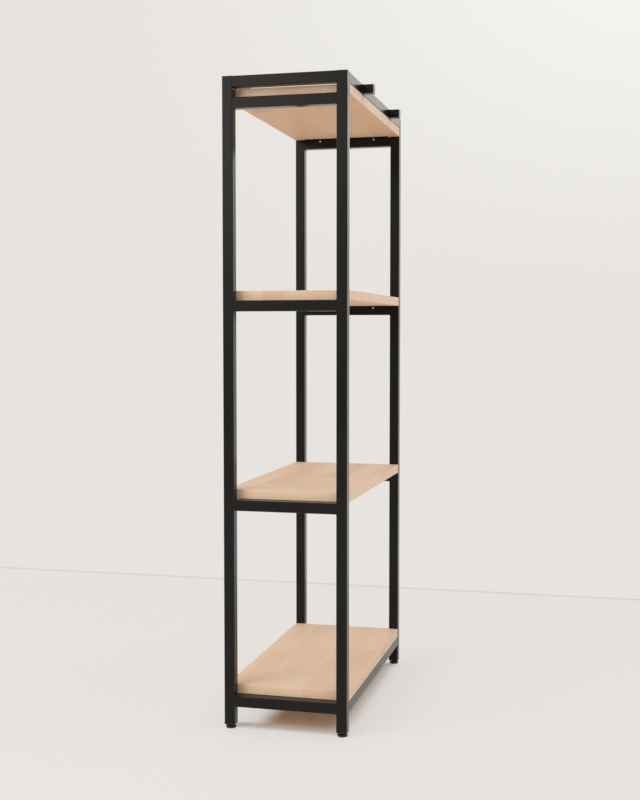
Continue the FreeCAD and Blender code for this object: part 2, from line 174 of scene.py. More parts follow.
# satin black powder coat
coat = {
    "colour": (0.0045, 0.0044, 0.0038, 1), "patch": (0.0062, 0.0060, 0.0052, 1),
    "thinEdgeHighlight": (0.016, 0.0155, 0.014, 1), "edgeHighlightShare": 0.55, "mirror": 0.22,
    "rough": 0.23, "roughSpread": 0.07, "edgeGloss": 0.03,
    "patchScale": (9, 9, 9), "patchFrom": 0.35, "patchFull": 0.65,
    "peelScale": (620, 620, 620), "speckScale": (2600, 2600, 2600), "speckShare": 0.35,
    "bumpDepth": 0.000015,
}


def makeCoat():
    material, book = newLook("satinBlackCoat")
    place = book.add("ShaderNodeTexCoord", out="Object")
    patch = book.noise(place, coat["patchScale"], 3)
    peel = book.noise(place, coat["peelScale"], 1)
    speck = book.noise(place, coat["speckScale"], 1)
    edge = book.add("ShaderNodeAttribute", {"attribute_name": "edge"}, out="Fac")  # 1 at corners
    patched = book.ease(patch, coat["patchFrom"], coat["patchFull"])
    body = book.mix(patched, coat["colour"], coat["patch"])
    # painted highlight: the corner roundings are lighter, partly for the thinner coat there
    colour = book.mix(edge * coat["edgeHighlightShare"], body, coat["thinEdgeHighlight"])
    rough = coat["rough"] + (patch - 0.5) * coat["roughSpread"] - edge * coat["edgeGloss"]
    height = peel + speck * coat["speckShare"]
    closeLook(book, {"Base Color": colour, "Roughness": rough, "Specular IOR Level": coat["mirror"],
                     "Normal": book.bump(height, coat["bumpDepth"])})
    return material


# pale staves of butted blocks, glued up under matt lacquer
wood = {
    "straw": (0.838, 0.640, 0.473, 1), "pink": (0.788, 0.556, 0.389, 1),
    "toneSpread": 0.85, "driftScale": (2.4, 9, 9), "driftShare": 1.1, "toneShift": 0.08,
    "staveWidth": 0.064, "blockLength": 0.62, "buttSpread": 5, "levelShift": 0.0237,
    "shelfPitch": 0.550, "boardMid": 0.1060,
    "levelSeed": 31.7, "blockSeed": 7.31, "grainShift": 3.7,
    "pithAside": 0.22, "pithNear": 0.020, "pithFar": 0.090,
    "ringPitch": 0.0042, "ringFrom": 0.35, "ringFull": 0.92, "ringShare": 0.20,
    "ringTint": (0.84, 0.72, 0.60, 1), "swayScale": (1.6, 12, 12), "wander": 0.010,
    "fibreScale": (11, 900, 900), "fibreRough": 0.6, "fibreFrom": 0.42, "fibreFull": 0.72,
    "fibreShare": 0.30, "fibreTint": (0.90, 0.83, 0.74, 1),
    "fleckScale": (85, 1300, 1300), "fleckFrom": 0.64, "fleckFull": 0.70, "fleckShare": 0.36,
    "fleckTint": (0.74, 0.58, 0.45, 1),
    "glueHalf": 0.00015, "glueShare": 0.5, "glueTint": (0.76, 0.62, 0.50, 1),
    "endFrom": 0.55, "endFull": 0.85, "endTint": (0.91, 0.885, 0.83, 1),
    "underShadeFrom": -0.5, "underShadeFull": -0.9, "underShadeTint": (0.94, 0.83, 0.70, 1),
    "rough": 0.54, "roughSpread": 0.16, "endRough": 0.10, "mirror": 0.26,
    "fibreRise": 0.6, "fleckDip": 0.3, "ringDip": 0.2, "bumpDepth": 0.00005,
}


def makeWood():
    material, book = newLook("paleStaves")
    place = book.add("ShaderNodeTexCoord", out="Object")
    x, y, z = book.split(place)
    level = math.floor(z / wood["shelfPitch"])  # which board of the four
    across = y + level * wood["levelShift"] + 1  # above nought on every board
    stave = math.floor(across / wood["staveWidth"])
    row = stave + level * wood["levelSeed"]
    along = x / wood["blockLength"] + book.luck(row)[0] * wood["buttSpread"]  # chance butts
    block = math.floor(along)
    seed = row + block * wood["blockSeed"]
    luckA, luckB, luckC = book.luck(seed)
    fromMid = across - (stave + 0.5) * wood["staveWidth"]
    fromButt = (along - block - 0.5) * wood["blockLength"]
    height = z - level * wood["shelfPitch"] - wood["boardMid"]
    apart = book.add("ShaderNodeCombineXYZ", None,  # no two blocks alike
                     {0: x + seed * wood["grainShift"], 1: y, 2: z})
    # growth rings round a pith that lies off the stave
    sway = book.noise(apart, wood["swayScale"], 2)
    aside = fromMid - (luckA - 0.5) * wood["pithAside"]
    below = height + wood["pithNear"] + luckB * wood["pithFar"]
    reach = (aside * aside + below * below) ** 0.5 + sway * wood["wander"]
    growth = reach / wood["ringPitch"]
    ring = growth - math.floor(growth)
    late = book.ease(ring, wood["ringFrom"], wood["ringFull"])
    late = late * book.ease(ring, 1.0, wood["ringFull"])
    fibre = book.noise(apart, wood["fibreScale"], 3, wood["fibreRough"])
    fibreDark = book.ease(fibre, wood["fibreFrom"], wood["fibreFull"])
    pores = book.noise(apart, wood["fleckScale"], 1)
    fleck = book.ease(pores, wood["fleckFrom"], wood["fleckFull"])
    drift = book.noise(apart, wood["driftScale"], 2)
    glue = (abs(fromMid) > wood["staveWidth"] / 2 - wood["glueHalf"]) \
        + (abs(fromButt) > wood["blockLength"] / 2 - wood["glueHalf"])
    facing, upward = book.split(book.add("ShaderNodeNewGeometry", out="Normal"))[::2]
    endGrain = book.ease(abs(facing), wood["endFrom"], wood["endFull"])
    under = book.ease(upward, wood["underShadeFrom"], wood["underShadeFull"])  # painted shade: the underside is tinted darker and warmer
    tone = (luckC - 0.5) * wood["toneSpread"] + drift * wood["driftShare"] - wood["toneShift"]
    colour = book.mix(book.ease(tone, 0.0, 1.0), wood["straw"], wood["pink"])
    colour = book.tinted(colour, late * wood["ringShare"], wood["ringTint"])
    colour = book.tinted(colour, fibreDark * wood["fibreShare"], wood["fibreTint"])
    colour = book.tinted(colour, fleck * wood["fleckShare"] * (1 - endGrain), wood["fleckTint"])
    colour = book.tinted(colour, glue * wood["glueShare"], wood["glueTint"])
    colour = book.tinted(colour, endGrain, wood["endTint"])
    # painted shade on the boards' undersides
    colour = book.tinted(colour, under, wood["underShadeTint"])
    rough = wood["rough"] + (fibre - 0.5) * wood["roughSpread"] + endGrain * wood["endRough"]
    grain = fibre * wood["fibreRise"] - fleck * wood["fleckDip"] - late * wood["ringDip"]
    closeLook(book, {"Base Color": colour, "Roughness": rough, "Specular IOR Level": wood["mirror"],
                     "Normal": book.bump(grain, wood["bumpDepth"])})
    return material


# moulded black nylon of the feet
nylon = {
    "colour": (0.012, 0.012, 0.012, 1), "scuff": (0.030, 0.029, 0.028, 1), "scuffShare": 0.7,
    "scuffHeight": 0.004, "scuffRough": 0.2,
    "flowScale": (60, 60, 160), "flowFrom": 0.50, "flowFull": 0.68,
    "sparkScale": (1500, 1500, 1500), "rough": 0.36, "roughSpread": 0.16, "bumpDepth": 0.00003,
}


def makeNylon():
    material, book = newLook("mouldedBlackNylon")
    place = book.add("ShaderNodeTexCoord", out="Object")
    flow = book.noise(place, nylon["flowScale"], 3)
    spark = book.noise(place, nylon["sparkScale"], 2)
    height = book.split(place)[2]
    nearFloor = book.ease(height, nylon["scuffHeight"], 0.0)  # scuffed where it meets the floor
    scuff = book.ease(flow, nylon["flowFrom"], nylon["flowFull"]) * nearFloor
    colour = book.mix(scuff * nylon["scuffShare"], nylon["colour"], nylon["scuff"])
    rough = nylon["rough"] + (flow - 0.5) * nylon["roughSpread"] + scuff * nylon["scuffRough"]
    closeLook(book, {"Base Color": colour, "Roughness": rough,
                     "Normal": book.bump(spark, nylon["bumpDepth"])})
    return material


# bright zinc plate of screws and nuts
zinc = {
    "bright": (0.74, 0.75, 0.77, 1), "warm": (0.66, 0.63, 0.56, 1), "dull": (0.42, 0.43, 0.45, 1),
    "bathScale": (210, 210, 210), "bathFrom": 0.40, "bathFull": 0.66,
    "dullScale": (900, 900, 900), "dullFrom": 0.58, "dullFull": 0.75, "dullShare": 0.6,
    "rough": 0.27, "roughSpread": 0.22, "bumpDepth": 0.00002,
}


def makeZinc():
    material, book = newLook("brightZincPlate")
    place = book.add("ShaderNodeTexCoord", out="Object")
    bath = book.noise(place, zinc["bathScale"], 3)
    dull = book.noise(place, zinc["dullScale"], 2)
    warmth = book.ease(bath, zinc["bathFrom"], zinc["bathFull"])
    plate = book.mix(warmth, zinc["bright"], zinc["warm"])
    dulled = book.ease(dull, zinc["dullFrom"], zinc["dullFull"]) * zinc["dullShare"]
    closeLook(book, {"Base Color": book.mix(dulled, plate, zinc["dull"]), "Metallic": 1.0,
                     "Roughness": zinc["rough"] + (dull - 0.5) * zinc["roughSpread"],
                     "Normal": book.bump(dull, zinc["bumpDepth"])})
    return material


# black passivated zinc of the feet's studs
blackZinc = {
    "colour": (0.030, 0.030, 0.032, 1), "bloom": (0.052, 0.050, 0.056, 1),
    "rubbed": (0.17, 0.17, 0.175, 1),
    "bathScale": (170, 170, 170), "bathFrom": 0.38, "bathFull": 0.66,
    "rubScale": (700, 700, 1400), "rubFrom": 0.60, "rubFull": 0.74, "rubShare": 0.5,
    "rough": 0.36, "roughSpread": 0.18, "bumpDepth": 0.00002,
}


def makeBlackZinc():
    material, book = newLook("blackZincPlate")
    place = book.add("ShaderNodeTexCoord", out="Object")
    bath = book.noise(place, blackZinc["bathScale"], 3)
    rub = book.noise(place, blackZinc["rubScale"], 3)
    bloom = book.ease(bath, blackZinc["bathFrom"], blackZinc["bathFull"])
    plate = book.mix(bloom, blackZinc["colour"], blackZinc["bloom"])
    rubbed = book.ease(rub, blackZinc["rubFrom"], blackZinc["rubFull"]) * blackZinc["rubShare"]
    closeLook(book, {"Base Color": book.mix(rubbed, plate, blackZinc["rubbed"]), "Metallic": 1.0,
                     "Roughness": blackZinc["rough"] + (bath - 0.5) * blackZinc["roughSpread"],
                     "Normal": book.bump(rub, blackZinc["bumpDepth"])})
    return material


coatLook = makeCoat()
woodLook = makeWood()
nylonLook = makeNylon()
zincLook = makeZinc()
blackZincLook = makeBlackZinc()


def plainMesh(obj):  # live modifiers become the object's own mesh
    graph = bpy.context.evaluated_depsgraph_get()
    mesh = bpy.data.meshes.new_from_object(obj.evaluated_get(graph))
    obj.modifiers.clear()
    obj.data = mesh
    mesh.name = obj.name


def tidyMesh(obj, sharpFrom=0.6):  # welded, outward, smooth but for its sharp edges
    bm = bmesh.new()
    bm.from_mesh(obj.data)
    bmesh.ops.remove_doubles(bm, verts=bm.verts, dist=1e-7)
    bmesh.ops.recalc_face_normals(bm, faces=bm.faces)
    for face in bm.faces:
        face.smooth = True
    for edge in bm.edges:
        edge.smooth = edge.calc_face_angle(0.0) < sharpFrom
    bm.to_mesh(obj.data)
    bm.free()


def evenShade(obj):  # flats keep their own normal beside a rounding
    weighted = obj.modifiers.new("evenShade", "WEIGHTED_NORMAL")
    weighted.keep_sharp = True
    weighted.mode = "FACE_AREA"
    plainMesh(obj)


def newPiece(name, look=None):
    obj = bpy.data.objects.new(name, bpy.data.meshes.new(name))
    scene.collection.objects.link(obj)
    if look:
        obj.data.materials.append(look)
    return obj


def settle(obj, look, body, *replaced):  # tie a finished piece to its body
    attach(obj, body)
    if replaced:
        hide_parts(*replaced)


def newTree(name, inputs):
    tree = bpy.data.node_groups.new(name, "GeometryNodeTree")
    for label, kind in inputs.items():
        tree.interface.new_socket(name=label, in_out="INPUT", socket_type="NodeSocket" + kind)
    tree.interface.new_socket(name="Geometry", in_out="OUTPUT", socket_type="NodeSocketGeometry")
    book = NodeBook(tree)
    return tree, book, book.add("NodeGroupInput")


def closeTree(book, geometry, look):
    whole = book.add("GeometryNodeRealizeInstances", None, {0: geometry})
    dressed = book.add("GeometryNodeSetMaterial", None, {"Geometry": whole, "Material": look})
    book.add("NodeGroupOutput", None, {0: dressed})


def drawOut(book, face, length):  # a filled outline becomes a closed bar along Z
    drawn = book.add("GeometryNodeExtrudeMesh", {"mode": "FACES"}, {
        "Mesh": face, "Offset": (0, 0, 1), "Offset Scale": length, "Individual": False})
    return book.add("GeometryNodeMergeByDistance", None, {
        "Geometry": book.join(drawn, face), "Distance": touching})


def runTree(obj, tree, values):
    modifier = obj.modifiers.new(tree.name, "NODES")
    modifier.node_group = tree
    for item in tree.interface.items_tree:
        if item.in_out == "INPUT" and item.name in values:
            modifier[item.identifier] = values[item.name]
    plainMesh(obj)
    obj.data.polygons.foreach_set("material_index", [0] * len(obj.data.polygons))
    obj.data.materials.clear()
    obj.data.materials.append(values["Look"])


# square tube: two nested outlines filled and drawn out along Z
tube = {"wall": 0.002, "corner": 0.0025, "boreCorner": 0.0008, "steps": 6}
spacerTube = {"wall": 0.002, "corner": 0.002, "boreCorner": 0.0008, "steps": 6}
thinCoatHighlightFrom = 0.98  # the coat counts as thin, and carries a painted highlight, from this share of a corner's radius


def makeTubeTree():
    tree, book, given = newTree("squareTube", {
        "Side": "Float", "Length": "Float", "Wall": "Float", "Corner": "Float",
        "Bore Corner": "Float", "Steps": "Int", "Look": "Material"})
    side = given.out("Side")
    bore = side - given.out("Wall") * 2
    outlines = []
    for width, radius in ((side, "Corner"), (bore, "Bore Corner")):
        square = book.add("GeometryNodeCurvePrimitiveQuadrilateral", {"mode": "RECTANGLE"},
                          {"Width": width, "Height": width})
        outlines.append(book.add("GeometryNodeFilletCurve", {"mode": "POLY"}, {
            "Curve": square, "Count": given.out("Steps"), "Radius": given.out(radius)}))
    ring = book.add("GeometryNodeFillCurve", {"mode": "TRIANGLES"}, {0: book.join(*outlines)})
    welded = drawOut(book, ring, given.out("Length"))
    # mark the middle of each rounded corner, where the coat lies thin and a painted highlight is
    # laid
    px, py = book.split(book.add("GeometryNodeInputPosition"))[:2]
    flat = side / 2 - given.out("Corner") * thinCoatHighlightFrom
    onCorner = (abs(px) > flat) * (abs(py) > flat)
    marked = book.add("GeometryNodeStoreNamedAttribute", {"data_type": "FLOAT", "domain": "POINT"},
                      {"Geometry": welded, "Name": "edge", "Value": onCorner})
    closeTree(book, marked, given.out("Look"))
    return tree


def boreCutter(name, places, axis, radius, depth):  # round cutters for holes in tubes and ledges
    bm = bmesh.new()
    turn = Vector((0, 0, 1)).rotation_difference(Vector(axis)).to_matrix().to_4x4()
    for place in places:
        bmesh.ops.create_cone(bm, cap_ends=True, segments=fixing["holeSteps"], radius1=radius,
                              radius2=radius, depth=depth, matrix=Matrix.Translation(place) @ turn)
    obj = newPiece(name)
    bm.to_mesh(obj.data)
    bm.free()
    return obj


def cutHoles(obj, cutter):
    cut = obj.modifiers.new("holes", "BOOLEAN")
    cut.object = cutter
    cut.solver = "EXACT"
    plainMesh(obj)
    bpy.data.objects.remove(cutter)
    tidyMesh(obj)


def longWay(span):  # which side of a box is the longest
    return max(range(3), key=lambda i: span[i])


def makeTube(node, size, cutter=None):
    low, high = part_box(node)
    span = high - low
    along = longWay(span)
    turns = (Matrix.Rotation(quarter, 4, "Y"), Matrix.Rotation(-quarter, 4, "X"), Matrix())
    start = (low + high) / 2
    start[along] = low[along]
    obj = newPiece("tube_" + node)
    runTree(obj, tubeTree, {
        "Side": span[(along + 1) % 3], "Length": span[along], "Wall": size["wall"],
        "Corner": size["corner"], "Bore Corner": size["boreCorner"], "Steps": size["steps"],
        "Look": coatLook})
    obj.data.transform(Matrix.Translation(start) @ turns[along])
    tidyMesh(obj)
    if cutter:
        cutHoles(obj, cutter)
    evenShade(obj)
    settle(obj, coatLook, "frame", node)


tubeTree = makeTubeTree()
# holes for the ledges' rivet nuts, and for the wall screws
fixing = {"inset": 0.055, "drop": 0.0065, "nutHole": 0.00355, "cutDepth": 0.010, "holeSteps": 40}
wallFixing = {"pitch": 0.400, "radius": 0.00325, "cutDepth": 0.040}
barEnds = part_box("right_lower_crossbar")
fixingY = [barEnds[0].y + fixing["inset"], barEnds[1].y - fixing["inset"]]


def makeFrameTubes():
    for depth, side in corners:
        makeTube(f"{depth}_{side}_post", tube)
    for side in sides:
        for level in shelves + ("head",):
            node = f"{side}_{level}_crossbar"
            cutter = None
            if level in shelves:
                low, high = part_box(node)
                inner = low.x if side == "right" else high.x
                places = [Vector((inner, y, high.z - fixing["drop"])) for y in fixingY]
                cutter = boreCutter("nutHoles", places, (1, 0, 0), fixing["nutHole"],
                                    fixing["cutDepth"])
            makeTube(node, tube, cutter)
        makeTube(f"{side}_wall_spacer", spacerTube)
    for depth in depths:
        for level in ("bottom", "head"):
            node = f"{depth}_{level}_rail"
            cutter = None
            if node == "rear_head_rail":
                low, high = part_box(node)
                aside = Vector((wallFixing["pitch"] / 2, 0, 0))
                places = [(low + high) / 2 - aside, (low + high) / 2 + aside]
                cutter = boreCutter("wallHoles", places, (0, 1, 0), wallFixing["radius"],
                                    wallFixing["cutDepth"])
            makeTube(node, tube, cutter)


makeFrameTubes()
print("tubes made")

# seams that close the butted tubes: ground flush with the sides, a small fillet above and below
weld = {
    "bead": 0.0018, "sink": 0.00003, "proud": 0.0002, "bite": 0.00045, "headSink": 0.0003,
    "corner": 0.0012, "cornerSteps": 4, "spacing": 0.0005, "sides": 8, "sharpFrom": 1.2,
    "ripple": 0.07, "ripplePitch": 0.0020, "filletFrom": 0.0005,
    "stubBead": 0.0011, "stubProud": 0.0004, "stubLift": 0.0002,
}


def makeWeldTree():
    tree, book, given = newTree("weldSeams", {
        "Spots": "Geometry", "Width": "Float", "Height": "Float", "Bead": "Float",
        "Corner": "Float", "Corner Steps": "Int", "Ripple": "Float", "Ripple Pitch": "Float",
        "Spacing": "Float", "Sides": "Int", "Look": "Material"})
    square = book.add("GeometryNodeCurvePrimitiveQuadrilateral", {"mode": "RECTANGLE"},
                      {"Width": given.out("Width"), "Height": given.out("Height")})
    path = book.add("GeometryNodeFilletCurve", {"mode": "POLY"}, {
        "Curve": square, "Count": given.out("Corner Steps"), "Radius": given.out("Corner")})
    path = book.add("GeometryNodeResampleCurve", {"mode": "LENGTH"}, {
        "Curve": path, "Length": given.out("Spacing")})
    run = book.add("GeometryNodeSplineParameter", out="Length")
    py = book.split(book.add("GeometryNodeInputPosition"))[1]
    free = abs(py) > given.out("Height") / 2 - weld["filletFrom"]  # only fillets keep ripples
    wave = (run * (2 * math.pi) / given.out("Ripple Pitch")).alone("SINE")
    beadRound = book.add("GeometryNodeCurvePrimitiveCircle", {"mode": "RADIUS"}, {
        "Resolution": given.out("Sides"), "Radius": given.out("Bead")})
    seam = book.add("GeometryNodeCurveToMesh", None, {
        "Curve": path, "Profile Curve": beadRound,
        "Scale": 1 + wave * given.out("Ripple") * free})
    turn = book.add("GeometryNodeInputNamedAttribute", {"data_type": "FLOAT_VECTOR"},
                    {"Name": "turn"})
    facing = book.add("FunctionNodeEulerToRotation", None, {0: turn})
    seams = book.add("GeometryNodeInstanceOnPoints", None, {
        "Points": given.out("Spots"), "Instance": seam, "Rotation": facing})
    closeTree(book, seams, given.out("Look"))
    return tree


def barEndSpots(bars, shift):  # both ends of each bar, a little way into the post
    spots = []
    for node in bars:
        low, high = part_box(node)
        along = longWay(high - low)
        turn = (quarter, 0, 0 if along == 1 else quarter)
        for end, sign in ((low, -1), (high, 1)):
            spot = (low + high) / 2 + Vector((0, 0, shift))
            spot[along] = end[along] + sign * weld["bite"]
            spots.append((spot, turn))
    return spots


def makeWelds(name, spots, width, height, bead):
    obj = newPiece(name)
    obj.data.from_pydata([spot for spot, turn in spots], [], [])
    turns = obj.data.attributes.new("turn", "FLOAT_VECTOR", "POINT")
    turns.data.foreach_set("vector", [angle for spot, turn in spots for angle in turn])
    runTree(obj, weldTree, {
        "Width": width, "Height": height, "Bead": bead, "Corner": weld["corner"],
        "Corner Steps": weld["cornerSteps"], "Ripple": weld["ripple"],
        "Ripple Pitch": weld["ripplePitch"], "Spacing": weld["spacing"], "Sides": weld["sides"],
        "Look": coatLook})
    tidyMesh(obj, weld["sharpFrom"])
    settle(obj, coatLook, "frame")


def makeAllWelds():
    low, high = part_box("right_head_crossbar")
    flush = high.x - low.x - 2 * (weld["sink"] + weld["bead"])
    tall = high.z - low.z + 2 * weld["proud"]
    bars = [f"{side}_{level}_crossbar" for side in sides for level in shelves]
    bars += [f"{depth}_bottom_rail" for depth in depths]
    makeWelds("weld_shelf_bars", barEndSpots(bars, 0), flush, tall, weld["bead"])
    # at the head the seam is flush on top as well
    bars = [f"{side}_head_crossbar" for side in sides] + [f"{depth}_head_rail" for depth in depths]
    drop = weld["headSink"] + weld["bead"] + weld["proud"]
    makeWelds("weld_head_bars", barEndSpots(bars, -drop / 2), flush, tall - drop, weld["bead"])
    spots = []
    for side in sides:
        low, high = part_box(f"{side}_wall_spacer")
        spot = (low + high) / 2
        spot.y = low.y + weld["stubLift"]
        spots.append((spot, (quarter, 0, 0)))
    around = high.z - low.z + 2 * weld["stubProud"]
    makeWelds("weld_wall_spacers", spots, around, around, weld["stubBead"])


weldTree = makeWeldTree()
makeAllWelds()
print("weld seams made")

# boards with eased edges
board = {"round": 0.0015, "steps": 5}


def makeBoard(level):
    node = level + "_shelf_board"
    low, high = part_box(node)
    obj = newPiece("board_" + level, woodLook)
    bm = bmesh.new()
    bmesh.ops.create_cube(bm, size=1, matrix=Matrix.Translation((low + high) / 2)
                          @ Matrix.Diagonal(high - low).to_4x4())
    bmesh.ops.bevel(bm, geom=bm.edges[:], offset=board["round"], segments=board["steps"],
                    profile=0.5, affect="EDGES")
    bm.to_mesh(obj.data)
    bm.free()
    tidyMesh(obj)
    evenShade(obj)
    settle(obj, woodLook, "frame", node)


for level in shelves:
    makeBoard(level)
print("boards made")

# angle ledges under the boards' ends: an L outline, bent at one corner, drawn out along the bar
ledge = {"leg": 0.015, "thick": 0.002, "bend": 0.001, "ease": 0.00025, "steps": 4,
         "screwHole": 0.0027}


def makeLedgeTree():
    tree, book, given = newTree("angleLedge", {
        "Outline": "Geometry", "Length": "Float", "Bend": "Float", "Ease": "Float", "Steps": "Int",
        "Look": "Material"})
    path = book.add("GeometryNodeMeshToCurve", None, {"Mesh": given.out("Outline")})
    px, py = book.split(book.add("GeometryNodeInputPosition"))[:2]
    atBend = abs(px) + abs(py) < touching
    rounded = book.add("GeometryNodeFilletCurve", {"mode": "POLY"}, {
        "Curve": path, "Count": given.out("Steps"),
        "Radius": given.out("Ease") + atBend * (given.out("Bend") - given.out("Ease"))})
    face = book.add("GeometryNodeFillCurve", {"mode": "TRIANGLES"}, {0: rounded})
    closeTree(book, drawOut(book, face, given.out("Length")), given.out("Look"))
    return tree


def makeLedge(side, level):
    node = f"{side}_{level}_ledge"
    low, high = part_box(node)
    leg, thick = ledge["leg"], ledge["thick"]
    outline = [(0, 0), (0, -leg), (thick, -leg), (thick, -thick), (leg, -thick), (leg, 0)]
    obj = newPiece("angle_" + node)
    obj.data.from_pydata([(x, y, 0) for x, y in outline], [(i, (i + 1) % 6) for i in range(6)], [])
    runTree(obj, ledgeTree, {"Length": high.y - low.y, "Bend": ledge["bend"], "Ease": ledge["ease"],
                             "Steps": ledge["steps"], "Look": coatLook})
    # the outline's X points into the unit, its Y up
    sign = -1 if side == "right" else 1
    turn = Matrix(((sign, 0, 0, 0), (0, 0, -sign, 0), (0, 1, 0, 0), (0, 0, 0, 1)))
    back = high.x if side == "right" else low.x
    start = low.y if side == "right" else high.y
    obj.data.transform(Matrix.Translation((back, start, high.z)) @ turn)
    tidyMesh(obj)
    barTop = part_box(f"{side}_{level}_crossbar")[1].z
    places = [Vector((back, y, barTop - fixing["drop"])) for y in fixingY]
    cutHoles(obj, boreCutter("screwHoles", places, (1, 0, 0), ledge["screwHole"],
                             fixing["cutDepth"]))
    evenShade(obj)
    settle(obj, coatLook, "frame", node)


ledgeTree = makeLedgeTree()
for side in sides:
    for level in shelves:
        makeLedge(side, level)
print("ledges made")


def turned(bm, rings, count, place=Matrix()):  # lathe of (radius, height, six-sided or not) rings
    loops = []
    for radius, height, six in rings:
        loop = []
        for step in range(count):
            angle = 2 * math.pi * step / count
            reach = radius / math.cos(angle % (math.pi / 3) - math.pi / 6) if six else radius
            spot = Vector((reach * math.cos(angle), reach * math.sin(angle), height))
            loop.append(bm.verts.new(place @ spot))
        loops.append(loop)
    for below, above in zip(loops, loops[1:]):
        for step in range(count):
            after = (step + 1) % count
            bm.faces.new((below[step], below[after], above[after], above[step]))
    bm.faces.new(loops[0][::-1])
    bm.faces.new(loops[-1])


def arc(middle, height, radius, start, end, steps):  # rings along a rounding, angles in degrees
    angles = [math.radians(start + (end - start) * i / steps) for i in range(steps + 1)]
    return [(middle + radius * math.cos(a), height + radius * math.sin(a), False) for a in angles]


# pan-head socket screws, four to a level, each stopped at a chance turn
screw = {
    "head": 0.0035, "headHeight": 0.0026, "headRound": 0.0012, "roundSteps": 6, "steps": 36,
    "socket": 0.00152, "socketDepth": 0.0014, "socketEase": 0.00015,
    "drillTip": 0.0003, "drillDepth": 0.0005, "shank": 0.0025, "reach": 0.012, "tip": 0.0005,
}


def makeScrewTree():
    tree, book, given = newTree("screwSet", {
        "Screw": "Geometry", "Across": "Float", "Pitch": "Float", "Middle": "Vector", "Seed": "Int",
        "Look": "Material"})
    spots = book.add("GeometryNodeMeshGrid", None, {
        "Size X": given.out("Across"), "Size Y": given.out("Pitch"),
        "Vertices X": 2, "Vertices Y": 2})
    px = book.split(book.add("GeometryNodeInputPosition"))[0]
    inward = book.add("ShaderNodeCombineXYZ", None, {0: 0 - px})
    facing = book.add("FunctionNodeAlignRotationToVector", {"axis": "Z"}, {"Vector": inward})
    chance = book.add("FunctionNodeRandomValue", {"data_type": "FLOAT"}, {
        2: 0.0, 3: 2 * math.pi, "Seed": given.out("Seed")}, out=1)
    spin = book.add("FunctionNodeAxisAngleToRotation", None, {"Axis": (0, 0, 1), "Angle": chance})
    stopped = book.add("FunctionNodeRotateRotation", {"rotation_space": "LOCAL"}, {
        "Rotation": facing, "Rotate By": spin})
    four = book.add("GeometryNodeInstanceOnPoints", None, {
        "Points": spots, "Instance": given.out("Screw"), "Rotation": stopped})
    moved = book.add("GeometryNodeTransform", None, {
        "Geometry": four, "Translation": given.out("Middle")})
    closeTree(book, moved, given.out("Look"))
    return tree


def makeScrews(level, seed):
    node = level + "_ledge_screws"
    head, top, rounding = screw["head"], screw["headHeight"], screw["headRound"]
    shank, tip, reach = screw["shank"], screw["tip"], screw["reach"]
    socket, ease = screw["socket"], screw["socketEase"]
    floor = top - screw["socketDepth"]
    rings = [(shank - tip, -reach, False), (shank, tip - reach, False), (shank, 0, False),
             (head, 0, False)]
    rings += arc(head - rounding, top - rounding, rounding, 0, 90, screw["roundSteps"])
    rings += [(socket + ease, top, True), (socket, top - ease, True), (socket, floor, True),
              (screw["drillTip"], floor - screw["drillDepth"], False)]
    obj = newPiece("screws_" + level)
    bm = bmesh.new()
    turned(bm, rings, screw["steps"])
    bm.to_mesh(obj.data)
    bm.free()
    low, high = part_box(node)
    runTree(obj, screwTree, {
        "Across": high.x - low.x - 2 * reach, "Pitch": fixingY[1] - fixingY[0],
        "Middle": (low + high) / 2, "Seed": seed, "Look": zincLook})
    tidyMesh(obj)
    evenShade(obj)
    settle(obj, zincLook, "frame", node)


screwTree = makeScrewTree()
for seed, level in enumerate(shelves):
    makeScrews(level, seed)
print("screws made")

# levelling feet: a moulded disc that swivels on a threaded stud with a six-sided collar
pad = {
    "radius": 0.01425, "height": 0.00695, "topRound": 0.0025, "baseRound": 0.0015,
    "roundSteps": 8, "steps": 72, "hole": 0.00405, "holeFloor": 0.00245, "holeEase": 0.0004,
    "groove": 0.0105, "grooveWidth": 0.0010, "grooveSlope": 0.0004, "grooveDepth": 0.0004,
    "soleMid": 0.0010,
}
stud = {
    "radius": 0.004, "start": 0.0035, "tip": 0.034, "lead": 0.0010, "steps": 36,
    "pitch": 0.00125, "depth": 0.00070, "crest": 0.12, "root": 0.80, "ringsPerTurn": 10,
    "runOut": 0.0022, "runOutFrom": 0.4, "seat": 0.0045, "seatEase": 0.0003,
    "collar": 0.006495, "collarRound": 0.0061, "collarHeight": 0.004, "collarEase": 0.0006,
    "collarMouth": 0.0028, "sharpFrom": 0.5,
}


def makeThreadTree():
    tree, book, given = newTree("rightHandThread", {
        "Radius": "Float", "Depth": "Float", "Pitch": "Float", "Length": "Float", "Lead": "Float",
        "Run Out": "Float", "Steps": "Int", "Rings": "Int", "Look": "Material"})
    sheet = book.add("GeometryNodeMeshGrid", None, {
        "Size X": 1.0, "Size Y": 1.0, "Vertices X": given.out("Steps"),
        "Vertices Y": given.out("Rings")})
    around, along = book.split(book.add("GeometryNodeInputPosition"))[:2]
    angle = around * (2 * math.pi)
    height = (along + 0.5) * given.out("Length")
    turns = height / given.out("Pitch") - around
    wave = abs(turns - math.floor(turns) - 0.5) * 2
    runOut = given.out("Run Out")
    depth = given.out("Depth") * book.ease(height, runOut * stud["runOutFrom"], runOut)
    reach = given.out("Radius") - depth * book.ease(wave, stud["crest"], stud["root"])
    reach = reach.least(given.out("Radius") - given.out("Lead") + given.out("Length") - height)
    rolled = book.add("ShaderNodeCombineXYZ", None, {
        0: reach * angle.alone("COSINE"), 1: reach * angle.alone("SINE"), 2: height})
    placed = book.add("GeometryNodeSetPosition", None, {"Geometry": sheet, "Position": rolled})
    joined = book.add("GeometryNodeMergeByDistance", None, {
        "Geometry": placed, "Distance": touching})
    closeTree(book, joined, given.out("Look"))
    return tree


